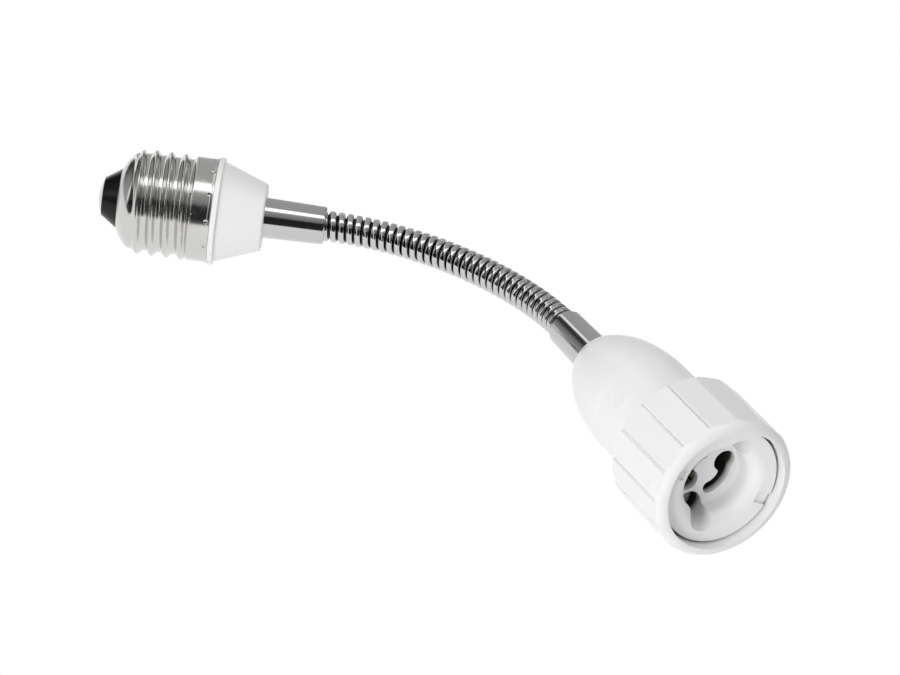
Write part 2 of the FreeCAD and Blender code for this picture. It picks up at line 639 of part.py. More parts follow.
def leaf_frame():
    # Where a contact's strip starts and which way it runs, seen from the front.
    start = polar(PIN_CIRCLE_R, KEYHOLE_ANGLE - KEYHOLE_SWEEP)
    towards = polar(PIN_CIRCLE_R, KEYHOLE_ANGLE - KEYHOLE_SWEEP + 45)
    direction = (towards - start).normalize()
    return start, direction


def rivet_place():
    start, direction = leaf_frame()
    return start + direction * RIVET_AT


def lamp_contact():
    # Bent spring strip: a leaf under the slot's end, a foot riveted to the back plate.
    start, direction = leaf_frame()
    low = PLATE_FRONT + STACK_GAP
    high = low + LEAF_LIFT
    t = LEAF_THICKNESS
    points = [
        (LEAF_TIP, high), (LEAF_END, high), (LEAF_FOOT_START, low), (LEAF_FOOT_END, low),
        (LEAF_FOOT_END, low + t), (LEAF_FOOT_START + 0.2, low + t), (LEAF_END + 0.2, high + t),
        (LEAF_TIP, high + t)]
    side = V(-direction.y, direction.x, 0)
    origin = start - side * (LEAF_WIDTH / 2)
    corners = [origin + direction * x + V(0, 0, z) for x, z in points]
    strip = Part.Face(Part.makePolygon(corners + [corners[0]])).extrude(side * LEAF_WIDTH)
    at = rivet_place()
    return strip.cut(rod(RIVET_R + THREAD_GAP, low - 1, low + 1, at.x, at.y))


def contact_rivet():
    at = rivet_place()
    top = PLATE_FRONT + 2 * STACK_GAP + LEAF_THICKNESS
    bottom = PLATE_BACK - STACK_GAP
    shank = rod(RIVET_R, bottom, top, at.x, at.y)
    front = rod(RIVET_HEAD_R, top, top + RIVET_HEAD_HEIGHT, at.x, at.y)
    back = rod(RIVET_HEAD_R, bottom - RIVET_HEAD_HEIGHT, bottom, at.x, at.y)
    return shank.fuse([front, back]).removeSplitter()


def back_plate():
    plate = rod(PLATE_R, PLATE_BACK, PLATE_FRONT)
    at = rivet_place()
    holes = pair(rod_at(BOSS_R + BOSS_GAP, PLATE_BACK - 1, PLATE_FRONT + 1, SCREW_CIRCLE_R, SCREW_ANGLE))
    holes.append(rod(PLATE_SCREW_R + SCREW_GAP, PLATE_BACK - 1, PLATE_FRONT + 1))
    holes += pair(rod(RIVET_R + THREAD_GAP, PLATE_BACK - 1, PLATE_FRONT + 1, at.x, at.y))
    return plate.cut(holes)


def back_plate_screw():
    under = PLATE_BACK - STACK_GAP
    shank = rod(PLATE_SCREW_R, under, INSERT_BACK + PLATE_SCREW_LENGTH - HOLE_END_GAP)
    head = rod(PLATE_SCREW_HEAD_R, under - PLATE_SCREW_HEAD_HEIGHT, under)
    return shank.fuse(head).removeSplitter()


# Where the pieces go

def hose_path():
    # Place of each joint, and the hose's heading before and after it as an angle from X.
    def bend(i):
        t = i / (JOINT_COUNT - 1)
        middle_part = 4 * t * (1 - t)
        ends = BEND_AT_BASE * (1 - t) + BEND_AT_SOCKET * t
        straight_middle = (BEND_AT_BASE + BEND_AT_SOCKET) / 2
        return ends + (BEND_IN_MIDDLE - straight_middle) * middle_part
    total = sum(bend(i) for i in range(JOINT_COUNT))
    turns = [HOSE_TURN * bend(i) / total for i in range(JOINT_COUNT)]
    heading = HOSE_TURN - 90
    place = polar(FIRST_JOINT_Z, heading)
    path = []
    for turn in turns:
        path.append((place, heading, heading - turn))
        heading -= turn
        place = place + polar(LINK_LENGTH, heading)
    return path


def frame(origin, x_axis, z_axis):
    y = z_axis.cross(x_axis)
    return FreeCAD.Placement(FreeCAD.Matrix(
        x_axis.x, y.x, z_axis.x, origin.x, x_axis.y, y.y, z_axis.y, origin.y,
        x_axis.z, y.z, z_axis.z, origin.z, 0, 0, 0, 1))


PATH = hose_path()
UP = V(0, 0, 1)
BASE_FRAME = frame(V(0, 0, 0), UP, polar(1, HOSE_TURN - 90))
SOCKET_FRAME = frame(PATH[-1][0] + V(0, LAST_JOINT_Z, 0), V(1, 0, 0), V(0, -1, 0))


def wire_points(side):
    # Corners of one wire from the base to the socket, each with the radius of its bend.
    across = side * WIRE_OFFSET
    if side > 0:
        start, corner, bend_r = V(0, 0, TIP_WIRE_Z), V(0, 0, LIVE_CORNER_Z), LIVE_CORNER_R
    else:
        start, corner = V(NEUTRAL_END_X, 0, NEUTRAL_END_Z), V(NEUTRAL_END_X, 0, NEUTRAL_CORNER_Z)
        bend_r = NEUTRAL_CORNER_R
    inner = [(start, 0), (corner, bend_r), (V(across, 0, STEM_ENTRY_Z), bend_r)]
    points = [(BASE_FRAME.multVec(p), r) for p, r in inner]
    for place, before, after in PATH:
        half_turn = radians(before - after) / 2
        points.append((place + UP * across, JOINT_RUN / tan(half_turn)))
    rivet = rivet_place() * -side
    tail = [(V(0, across, SOCKET_CORNER_Z), LIVE_CORNER_R),
            (V(rivet.x, rivet.y, RIVET_CORNER_Z), LIVE_CORNER_R),
            (V(rivet.x, rivet.y, RIVET_WIRE_Z), 0)]
    return points + [(SOCKET_FRAME.multVec(p), r) for p, r in tail]


def lead_wire(side):
    # Round wire along its corners, with an arc at each.
    points = wire_points(side)
    edges = []
    at = points[0][0]
    for i in range(1, len(points) - 1):
        corner, radius = points[i]
        into = (corner - points[i - 1][0]).normalize()
        out = (points[i + 1][0] - corner).normalize()
        half = into.getAngle(out) / 2
        cut = radius * tan(half)
        start = corner - into * cut
        end = corner + out * cut
        inward = (out - into).normalize()
        middle = corner + inward * (radius / cos(half) - radius)
        edges.append(Part.makeLine(at, start))
        edges.append(Part.Arc(start, middle, end).toShape())
        at = end
    edges.append(Part.makeLine(at, points[-1][0]))
    path = Part.Wire(edges)
    along = (points[1][0] - points[0][0]).normalize()
    ring = Part.Wire([Part.makeCircle(WIRE_R, points[0][0], along)])
    return path.makePipeShell([ring], True, True)


def moved(shape, *placements):
    out = shape.Solids[0] if len(shape.Solids) == 1 else shape
    for placement in placements:
        out = out.transformed(placement.toMatrix(), True)
    return out


def build():
    inside = threaded_core(SHELL_WALL, 1.0)
    to_base_ferrule = FreeCAD.Placement(V(0, 0, COLLAR_LENGTH), FreeCAD.Rotation())
    to_socket_ferrule = FreeCAD.Placement(V(0, 0, HOUSING_REAR), FreeCAD.Rotation(V(1, 0, 0), 180))
    at = rivet_place()
    parts = {
        "screw_shell": moved(screw_shell(inside), BASE_FRAME),
        "tip_insulator": moved(tip_insulator(), BASE_FRAME),
        "tip_contact": moved(tip_contact(), BASE_FRAME),
        "base_collar": moved(base_collar(), BASE_FRAME),
        "base_ferrule": moved(ferrule(), to_base_ferrule, BASE_FRAME),
        "base_washer": moved(stem_washer(), to_base_ferrule, BASE_FRAME),
        "base_nut": moved(stem_nut(), to_base_ferrule, BASE_FRAME),
        "hose_base_end": moved(hose_base_end(), BASE_FRAME),
        "hose_socket_end": moved(hose_socket_end(), SOCKET_FRAME),
        "socket_ferrule": moved(ferrule(), to_socket_ferrule, SOCKET_FRAME),
        "socket_washer": moved(stem_washer(), to_socket_ferrule, SOCKET_FRAME),
        "socket_nut": moved(stem_nut(), to_socket_ferrule, SOCKET_FRAME),
        "housing": moved(housing(), SOCKET_FRAME),
        "grip_ring": moved(grip_ring(), SOCKET_FRAME),
        "socket_insert": moved(socket_insert(), SOCKET_FRAME),
        "back_plate": moved(back_plate(), SOCKET_FRAME),
        "back_plate_screw": moved(back_plate_screw(), SOCKET_FRAME),
        "live_wire": lead_wire(1),
        "neutral_wire": lead_wire(-1),
        "neutral_shell_solder": moved(shell_solder(inside), BASE_FRAME),
        "live_tip_solder": moved(solder(TIP_WIRE_Z - SOLDER_LENGTH, TIP_WIRE_Z), BASE_FRAME),
    }
    tail = solder(0, SOLDER_LENGTH)
    tail.rotate(V(0, 0, 0), V(1, 0, 0), 180)
    tail.translate(V(at.x, at.y, RIVET_TAIL_Z - STACK_GAP))
    sides = ("neutral", "live")
    for name, a, b, c, d in zip(
            sides, pair(lamp_contact()), pair(contact_rivet()), pair(tail), pair(insert_screw())):
        parts["contact_" + name] = moved(a, SOCKET_FRAME)
        parts["rivet_" + name] = moved(b, SOCKET_FRAME)
        parts["socket_solder_" + name] = moved(c, SOCKET_FRAME)
        parts["insert_screw_" + ("upper" if name == "neutral" else "lower")] = moved(d, SOCKET_FRAME)
    link = hose_link()
    for i in range(LINK_COUNT):
        place, before, after = PATH[i]
        parts["hose_link_%02d" % (i + 1)] = moved(link, frame(place, UP, polar(1, after)))
    return parts


def main():
    os.makedirs("parts", exist_ok=True)
    for name, shape in sorted(build().items()):
        shape.exportStep("parts/" + name + ".step")
        print(name, shape.ShapeType, len(shape.Solids), shape.isValid(), round(shape.Volume, 2))


main()
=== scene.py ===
import json
from math import atan2, cos, pi, sin, tan

import bpy
from mathutils import Matrix, Vector

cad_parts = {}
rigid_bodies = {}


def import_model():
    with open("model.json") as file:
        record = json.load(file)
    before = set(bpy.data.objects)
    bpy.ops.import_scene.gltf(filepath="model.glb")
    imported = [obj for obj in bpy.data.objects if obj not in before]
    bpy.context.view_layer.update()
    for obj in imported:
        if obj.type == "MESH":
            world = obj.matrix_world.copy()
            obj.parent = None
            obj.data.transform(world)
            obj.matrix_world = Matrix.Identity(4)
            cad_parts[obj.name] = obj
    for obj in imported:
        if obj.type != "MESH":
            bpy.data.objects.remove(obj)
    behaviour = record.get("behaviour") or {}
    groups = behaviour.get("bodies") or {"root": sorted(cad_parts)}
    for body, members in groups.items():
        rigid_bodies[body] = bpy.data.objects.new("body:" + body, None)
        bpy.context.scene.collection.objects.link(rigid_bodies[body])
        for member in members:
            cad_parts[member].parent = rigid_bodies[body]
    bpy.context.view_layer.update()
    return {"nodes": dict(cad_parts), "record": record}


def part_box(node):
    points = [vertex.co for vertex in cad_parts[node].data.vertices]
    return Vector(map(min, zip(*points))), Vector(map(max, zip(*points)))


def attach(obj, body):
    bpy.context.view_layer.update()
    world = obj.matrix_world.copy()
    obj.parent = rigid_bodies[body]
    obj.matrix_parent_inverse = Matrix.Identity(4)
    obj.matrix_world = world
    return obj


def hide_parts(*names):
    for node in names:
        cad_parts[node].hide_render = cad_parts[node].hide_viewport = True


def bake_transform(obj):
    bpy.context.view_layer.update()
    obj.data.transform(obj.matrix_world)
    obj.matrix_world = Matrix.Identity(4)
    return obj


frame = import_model()
nodes = frame["nodes"]
record = frame["record"]
MM = 0.001

# Blender's starting objects
for start_name in ("Cube", "Light", "Camera"):
    if start_name in bpy.data.objects:
        bpy.data.objects.remove(bpy.data.objects[start_name])

# Camera of the photo. It sees the base's axis and the frame's Z along these directions, given as
# right, up and back in the picture, and has the frame's origin at this place, in metres.
PHOTO_WIDTH = 900
FOCAL_PX = 4842.7
SENSOR_MM = 36.0
AXIS_BASE = Vector((0.99109, -0.13321, -0.00065))
AXIS_UP = Vector((0.11663, 0.86539, 0.48734))
CAMERA_TO_ORIGIN = Vector((-0.0585874, 0.0314050, -1.2))
CLIP_NEAR = 0.05
CLIP_FAR = 20.0

# Hose skin, in millimetres: one strip wound right-handed, two turns to a link
RIDGE_PITCH = 2.177
TURNS_PER_LINK = 2
END_TURNS = 3
ROWS_PER_TURN = 24
COLUMNS = 48
SKIN_INNER_R = 2.72
# Degrees round the hose, from its top, at which the groove's middle crosses a pivot
GROOVE_FACING = 52.0
# Rows on each side of the groove's middle that are painted dark as shade, and rows left out where pieces
# part
SHADED_GROOVE_ROWS = 3
END_ROWS = 2
# Section of the strip: share of a turn from the groove's middle, and the radius there
STRIP_SECTION = (
    (0.00, 2.92), (0.10, 2.92), (0.12, 3.30), (0.15, 3.58), (0.20, 3.74), (0.27, 3.81), (0.38, 3.84),
    (0.50, 3.85))
# Ball painted dark as shade inside the hose at every other pivot, where pieces of the skin part
BALL_R = 2.68
BALL_WALL = 0.12
BALL_REACH = 1.4
BALL_STEPS = 4

# Wires, in millimetres, in the frames that the CAD uses for the base and for the socket
WIRE_R = 0.95
WIRE_OFFSET = 1.05
WIRE_SIDES = 14
WIRE_END_GAP = 0.16
HINGE_STEPS = 20
END_STEPS = 4
ARC_STEPS = 8
WIRE_BEND_R = 8.0
TIP_WIRE_Z = -18.86
TIP_BEND_Z = -10.0
NEUTRAL_START = (-10.5, -12.0)
NEUTRAL_BEND_Z = -7.5
NEUTRAL_BEND_R = 3.5
FERRULE_BEND_Z = 3.0
SOCKET_BEND_Z = (-46.0, -27.0)
RIVET_POINT = (4.888, -1.898)
RIVET_WIRE_Z = -18.89

# Surfaces: noise scales are per metre, bump depths in metres
WHITE = (0.90, 0.90, 0.895)
WHITE_ROUGHNESS = 0.32
NOISE_RANGE = (0.3, 0.7)
GLOSS_SCALE = 60.0
GLOSS_SPREAD = (0.85, 1.15)
GRAIN_SCALE = 2500.0
GRAIN_STRENGTH = 0.06
GRAIN_DEPTH = 0.0002
POLISH_SCALE = 400.0
POLISH_SPREAD = (0.7, 1.4)
POLISH_STRENGTH = 0.1
POLISH_DEPTH = 0.00001
# Painted shade inside the insert, behind the cup's floor, where little light gets in: depths in
# millimetres
INSIDE_START = 7.8
INSIDE_FULL = 9.4
INSIDE_SHADE_COLOR = (0.05, 0.05, 0.05)

# Studio, in metres. The part hangs on its screw base, so the floor lies below all that its hose
# can reach.
STUDIO_MIDDLE = Vector((0.055, -0.06, 0))
FLOOR_SIZE = 1.5
FLOOR_Z = -0.19
FLOOR_GREY = 0.85
FLOOR_SHADE = 0.12
FLOOR_GLOW = 0.93
# Lamps: place along the picture's right, up and back, the two sides and the power in watts
LAMPS = (
    ("key", (-0.50, -0.35, 0.80), (0.6, 0.6), 6.3),
    ("fill", (0.7, 0.1, 0.7), (0.6, 0.6), 1.5),
    ("top", (0.0, 0.9, 0.2), (0.7, 0.5), 1.1))
# Tent round the part, as brightness over the angle up from the camera's own direction
TENT_R = 1.6
TENT_OPENING = 0.93
TENT_STEPS = 32
TENT_BANDS = (
    (-180, 0.50), (-60, 0.60), (-34, 0.03), (4, 0.02), (13, 0.28), (38, 0.42), (45, 2.4), (56, 2.4),
    (63, 0.48), (110, 0.50), (180, 0.50))
# How much of that is left over the share of the direction that points to the picture's right
TENT_SIDES = (
    (-1.0, 0.9), (-0.82, 0.6), (-0.66, 0.1), (-0.52, 0.1), (-0.44, 1.0), (0.28, 1.0), (0.33, 0.15),
    (0.42, 0.15), (0.50, 0.85), (0.70, 0.75), (1.0, 0.3))
# Narrow upright glows to the left and right of the camera, over the same share
TENT_STREAKS = (
    (-0.46, 0.0), (-0.42, 0.9), (-0.35, 0.9), (-0.31, 0.0), (0.60, 0.0), (0.66, 0.35), (0.74, 0.35),
    (0.80, 0.0))


def new_object(name, points, faces, smooth=True):
    mesh = bpy.data.meshes.new(name)
    mesh.from_pydata(points, [], faces)
    mesh.validate()
    if smooth:
        mesh.shade_smooth()
    mesh.update()
    obj = bpy.data.objects.new(name, mesh)
    bpy.context.scene.collection.objects.link(obj)
    return obj


# Shader nodes

def empty_material(name):
    material = bpy.data.materials.new(name)
    material.use_nodes = True
    tree = material.node_tree
    tree.nodes.clear()
    return material, tree, tree.nodes.new("ShaderNodeOutputMaterial")


def principled_material(name):
    material, tree, out = empty_material(name)
    shader = tree.nodes.new("ShaderNodeBsdfPrincipled")
    tree.links.new(shader.outputs["BSDF"], out.inputs["Surface"])
    return material, tree, shader


def object_place(tree):
    return tree.nodes.new("ShaderNodeTexCoord").outputs["Object"]


def object_parts(tree):
    # X, Y and Z of the shaded point in the object's own axes.
    parts = tree.nodes.new("ShaderNodeSeparateXYZ")
    tree.links.new(object_place(tree), parts.inputs["Vector"])
    return parts.outputs


def object_noise(tree, scale, detail):
    noise = tree.nodes.new("ShaderNodeTexNoise")
    noise.inputs["Scale"].default_value = scale
    noise.inputs["Detail"].default_value = detail
    tree.links.new(object_place(tree), noise.inputs["Vector"])
    return noise.outputs["Fac"]


def ranged(tree, source, from_range, to_range=(0.0, 1.0)):
    spread = tree.nodes.new("ShaderNodeMapRange")
    spread.inputs["From Min"].default_value = from_range[0]
    spread.inputs["From Max"].default_value = from_range[1]
    spread.inputs["To Min"].default_value = to_range[0]
    spread.inputs["To Max"].default_value = to_range[1]
    tree.links.new(source, spread.inputs["Value"])
    return spread.outputs["Result"]


def combined(tree, kind, operation, a, b, output):
    node = tree.nodes.new(kind)
    node.operation = operation
    tree.links.new(a, node.inputs[0])
    tree.links.new(b, node.inputs[1])
    return node.outputs[output]


def bump(tree, shader, source, strength, distance):
    node = tree.nodes.new("ShaderNodeBump")
    node.inputs["Strength"].default_value = strength
    node.inputs["Distance"].default_value = distance
    tree.links.new(source, node.inputs["Height"])
    tree.links.new(node.outputs["Normal"], shader.inputs["Normal"])


def uneven_roughness(tree, shader, source, roughness, spread):
    low, high = spread
    tree.links.new(ranged(tree, source, NOISE_RANGE, (roughness * low, roughness * high)),
                   shader.inputs["Roughness"])


# Materials

def plastic(name, color, roughness, ior=1.49):
    # Moulded plastic: faint waviness and a slightly uneven gloss.
    material, tree, shader = principled_material(name)
    shader.inputs["Base Color"].default_value = (*color, 1.0)
    shader.inputs["IOR"].default_value = ior
    uneven_roughness(tree, shader, object_noise(tree, GLOSS_SCALE, 3.0), roughness, GLOSS_SPREAD)
    bump(tree, shader, object_noise(tree, GRAIN_SCALE, 2.0), GRAIN_STRENGTH, GRAIN_DEPTH)
    return material


def metal(name, color, roughness, scale=POLISH_SCALE):
    # Bright metal with uneven polish.
    material, tree, shader = principled_material(name)
    shader.inputs["Base Color"].default_value = (*color, 1.0)
    shader.inputs["Metallic"].default_value = 1.0
    polish = object_noise(tree, scale, 4.0)
    uneven_roughness(tree, shader, polish, roughness, POLISH_SPREAD)
    bump(tree, shader, polish, POLISH_STRENGTH, POLISH_DEPTH)
    return material


def shaded_insert_material():
    # White plastic with painted shade: it turns dark behind the cup's floor, where little light gets in.
    material = plastic("white_plastic_insert_painted_shade", WHITE, WHITE_ROUGHNESS)
    tree = material.node_tree
    shader = next(node for node in tree.nodes if node.type == "BSDF_PRINCIPLED")
    reach = (INSERT_FACE_Y + INSIDE_START * MM, INSERT_FACE_Y + INSIDE_FULL * MM)
    ramp = tree.nodes.new("ShaderNodeValToRGB")
    ramp.color_ramp.elements[0].color = (*WHITE, 1.0)
    ramp.color_ramp.elements[1].color = (*INSIDE_SHADE_COLOR, 1.0)
    tree.links.new(ranged(tree, object_parts(tree)["Y"], reach), ramp.inputs["Fac"])
    tree.links.new(ramp.outputs["Color"], shader.inputs["Base Color"])
    return material


def paint(obj, slot_name):
    obj.data.materials.append(MATERIALS[slot_name])


MATERIALS = {
    "white_plastic": plastic("white_plastic", WHITE, WHITE_ROUGHNESS),
    "black_plastic": plastic("black_plastic", (0.006, 0.006, 0.006), 0.22, ior=1.28),
    "plated_shell": metal("plated_shell", (0.62, 0.615, 0.60), 0.17, scale=900.0),
    "chrome_trim": metal("chrome_trim", (0.55, 0.553, 0.556), 0.10),
    "hose_metal": metal("hose_metal", (0.58, 0.58, 0.583), 0.09, scale=700.0),
    # Near black metal: painted shade in the hose's grooves, on its cut walls and on the balls inside it
    "hose_groove_painted_shade": metal("hose_groove_painted_shade", (0.035, 0.035, 0.035), 0.35, scale=700.0),
    "steel_parts": metal("steel_parts", (0.62, 0.62, 0.62), 0.30),
    "brass_parts": metal("brass_parts", (0.75, 0.58, 0.30), 0.28),
    # Back plate: its own dark brown, made near black as painted shade seen through the keyholes
    "plate_board": plastic("plate_board", (0.020, 0.016, 0.014), 0.5),
    "solder": metal("solder", (0.58, 0.58, 0.58), 0.4),
    "live_insulation": plastic("live_insulation", (0.16, 0.07, 0.03), 0.45),
    "neutral_insulation": plastic("neutral_insulation", (0.03, 0.08, 0.30), 0.45),
}
INSERT_FACE_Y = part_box("socket_insert")[0][1]
slot_of = {entry["node"]: entry["material_slot"] for entry in record["subparts"]}
for node_name, node in nodes.items():
    for material_slot in node.material_slots:
        material_slot.material = MATERIALS[slot_of[node_name]]
# The insert's white plastic, with painted shade behind the cup's floor
insert_painted_shade = shaded_insert_material()
for material_slot in nodes["socket_insert"].material_slots:
    material_slot.material = insert_painted_shade


# Middle line of the hose, from the record's joints

joints = record["behaviour"]["joints"]
bodies = [joints[0]["parent"]] + [joint["child"] for joint in joints]
pivots = [Vector(joint["pos_m"]) for joint in joints]
LINK_LENGTH = RIDGE_PITCH * TURNS_PER_LINK * MM
UP = Vector((0, 0, 1))
SOCKET_OUT = Vector((0, -1, 0))
BASE_ALONG = pivots[0].normalized()
headings = [BASE_ALONG] + [(b - a).normalized() for a, b in zip(pivots, pivots[1:])] + [SOCKET_OUT]


def middle_line(s):
    # Point and direction at the distance s past the first pivot, with an arc across each pivot.
    k = int((s + LINK_LENGTH / 2) // LINK_LENGTH)
    if k < 0:
        return pivots[0] + BASE_ALONG * s, BASE_ALONG
    if k >= len(pivots):
        past = s - LINK_LENGTH * (len(pivots) - 1)
        return pivots[-1] + SOCKET_OUT * past, SOCKET_OUT
    before, after = headings[k], headings[k + 1]
    turn = before.angle(after)
    share = (s + LINK_LENGTH / 2) / LINK_LENGTH - k
    radius = LINK_LENGTH / 2 / tan(turn / 2)
    inward = (after - before * before.dot(after)).normalized()
    start = pivots[k] - before * (LINK_LENGTH / 2)
    a = turn * share
    point = start + before * (radius * sin(a)) + inward * (radius * (1 - cos(a)))
    return point, before * cos(a) + inward * sin(a)


def around(s, radius, angle):
    # Point beside the middle line, with the angle from the top of the hose.
    point, along = middle_line(s)
    side = along.cross(UP)
    return point + (UP * cos(angle) + side * sin(angle)) * radius


# Wires

def tube(name, path, radius, sides=WIRE_SIDES):
    # Closed round tube through the points, with its first ring turned to the up direction.
    points, faces = [], []
    for i, point in enumerate(path):
        ahead = path[min(i + 1, len(path) - 1)]
        behind = path[max(i - 1, 0)]
        along = (ahead - behind).normalized()
        side = along.cross(UP).normalized()
        top = side.cross(along)
        for k in range(sides):
            a = 2 * pi * k / sides
            points.append(point + (top * cos(a) + side * sin(a)) * radius)
    for i in range(len(path) - 1):
        for k in range(sides):
            n = (k + 1) % sides
            faces.append([i * sides + k, i * sides + n, (i + 1) * sides + n, (i + 1) * sides + k])
    faces.append(list(range(sides))[::-1])
    faces.append([(len(path) - 1) * sides + k for k in range(sides)])
    return new_object(name, points, faces)


def rounded(corners, radii):
    # Points along straight runs with an arc at each inner corner.
    path = [corners[0]]
    for i in range(1, len(corners) - 1):
        corner = corners[i]
        into = (corner - corners[i - 1]).normalized()
        out = (corners[i + 1] - corner).normalized()
        half = into.angle(out) / 2
        cut = radii[i - 1] * tan(half)
        start = corner - into * cut
        inward = (out - into * into.dot(out)).normalized()
        for k in range(ARC_STEPS + 1):
            a = 2 * half * k / ARC_STEPS
            path.append(start + into * (radii[i - 1] * sin(a)) + inward * (radii[i - 1] * (1 - cos(a))))
    path.append(corners[-1])
    return path


def in_base(x, z):
    return (UP * x + BASE_ALONG * z) * MM


def in_socket(x, y, z):
    return SOCKET_FACE + Vector((x, -z, y)) * MM


def wire_through_hose(side, s0, s1, steps):
    path = []
    for k in range(steps + 1):
        point, _ = middle_line(s0 + (s1 - s0) * k / steps)
        path.append(point + UP * (side * WIRE_OFFSET * MM))
    return path


SOCKET_FACE = Vector((pivots[-1].x, INSERT_FACE_Y, 0.0))
half_link = LINK_LENGTH / 2
last_pivot = LINK_LENGTH * (len(pivots) - 1)
wire_gap = WIRE_END_GAP * MM
# Pieces run across every second pivot, where the hose swings, and part at the others
swings = range(1, len(pivots), 2)
for word, side in (("live", 1), ("neutral", -1)):
    insulation = word + "_insulation"
    across = side * WIRE_OFFSET
    if side > 0:
        corners = [in_base(0, TIP_WIRE_Z), in_base(0, TIP_BEND_Z)]
        radii = [WIRE_BEND_R * MM, WIRE_BEND_R * MM]
    else:
        corners = [in_base(*NEUTRAL_START), in_base(NEUTRAL_START[0], NEUTRAL_BEND_Z)]
        radii = [NEUTRAL_BEND_R * MM, NEUTRAL_BEND_R * MM]
    to_pivot = wire_through_hose(side, -half_link, -wire_gap, END_STEPS)
    corners += [in_base(across, FERRULE_BEND_Z), to_pivot[0]]
    piece = tube("wire_" + word + "_base", rounded(corners, radii) + to_pivot[1:], WIRE_R * MM)
    paint(piece, insulation)
    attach(piece, bodies[0])
    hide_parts(word + "_wire")
    for number, k in enumerate(swings):
        path = wire_through_hose(
            side, LINK_LENGTH * (k - 1) + wire_gap, LINK_LENGTH * (k + 1) - wire_gap, HINGE_STEPS)
        piece = tube("wire_%s_%02d" % (word, number + 1), path, WIRE_R * MM)
        paint(piece, insulation)
        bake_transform(piece)
    x, y = RIVET_POINT[0] * -side, RIVET_POINT[1] * -side
    from_pivot = wire_through_hose(side, last_pivot + wire_gap, last_pivot + half_link, END_STEPS)
    corners = [
        from_pivot[-1], in_socket(0, across, SOCKET_BEND_Z[0]), in_socket(x, y, SOCKET_BEND_Z[1]),
        in_socket(x, y, RIVET_WIRE_Z)]
    path = from_pivot[:-1] + rounded(corners, [WIRE_BEND_R * MM, WIRE_BEND_R * MM])
    piece = tube("wire_" + word + "_socket", path, WIRE_R * MM)
    paint(piece, insulation)
    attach(piece, bodies[-1])


# Hose skin

def strip_r(share):
    # Radius of the wound strip at a share of a turn from the groove's middle.
    share = abs((share + 0.5) % 1.0 - 0.5)
    for (t0, r0), (t1, r1) in zip(STRIP_SECTION, STRIP_SECTION[1:]):
        if share <= t1:
            return r0 + (r1 - r0) * (share - t0) / (t1 - t0)
    return STRIP_SECTION[-1][1]


def skin(name, first_row, last_row):
    # Wound tube between two rows, closed by an inner wall. Rows climb by one turn round the hose. The
    # groove's middle rows and the walls get painted shade.
    step = RIDGE_PITCH * MM / ROWS_PER_TURN
    phase = GROOVE_FACING / 360 * ROWS_PER_TURN
    index, points = {}, []

    def vertex(row, column, inner):
        row, column = row + ROWS_PER_TURN * (column // COLUMNS), column % COLUMNS
        key = (row, column, inner)
        if key not in index:
            index[key] = len(points)
            rise = ROWS_PER_TURN * column / COLUMNS
            s = (row + rise - phase) * step
            radius = SKIN_INNER_R if inner else strip_r(row / ROWS_PER_TURN)
            points.append(around(s, radius * MM, 2 * pi * column / COLUMNS))
        return index[key]

    faces, edges, painted_shade_faces = [], {}, []
    for row in range(first_row, last_row):
        for column in range(COLUMNS):
            ring = [(row, column), (row, column + 1), (row + 1, column + 1), (row + 1, column)]
            outer = [vertex(r, c, False) for r, c in ring]
            inner = [vertex(r, c, True) for r, c in ring]
            faces.append(outer)
            faces.append(inner[::-1])
            from_groove = (row + SHADED_GROOVE_ROWS) % ROWS_PER_TURN
            painted_shade_faces += [from_groove < 2 * SHADED_GROOVE_ROWS, False]
            for i in range(4):
                a, b = outer[i], outer[(i + 1) % 4]
                if (b, a) in edges:
                    del edges[(b, a)]
                else:
                    edges[(a, b)] = (inner[i], inner[(i + 1) % 4])
    # Walls from the outer face's open edges to the inner face, painted dark as shade
    for (a, b), (inner_a, inner_b) in edges.items():
        faces.append([b, a, inner_a, inner_b])
        painted_shade_faces.append(True)
    obj = new_object(name, points, faces)
    obj.data.materials.append(MATERIALS["hose_metal"])
    obj.data.materials.append(MATERIALS["hose_groove_painted_shade"])
    for polygon, dark in zip(obj.data.polygons, painted_shade_faces):
        polygon.material_index = int(dark)
    return obj


def ball(name, k):
    # Hollow ball inside the hose at pivot k, painted dark as shade. It shows in the groove where two
    # pieces part.
    along = middle_line(LINK_LENGTH * k)[1]
    side = along.cross(UP)
    section = []
    outward = range(-BALL_STEPS, BALL_STEPS + 1)
    for radius, steps in ((BALL_R, outward), (BALL_R - BALL_WALL, outward[::-1])):
        for step in steps:
            z = BALL_REACH * step / BALL_STEPS
            section.append((z, (radius * radius - z * z) ** 0.5))
    points, faces = [], []
    for column in range(COLUMNS):
        a = 2 * pi * column / COLUMNS
        out = UP * cos(a) + side * sin(a)
        points += [pivots[k] + (along * z + out * r) * MM for z, r in section]
    count = len(section)
    for column in range(COLUMNS):
        a, b = column * count, (column + 1) % COLUMNS * count
        for i in range(count):
            n = (i + 1) % count
            faces.append([a + i, a + n, b + n, b + i])
    obj = new_object(name, points, faces)
    obj.data.materials.append(MATERIALS["hose_groove_painted_shade"])
    return obj


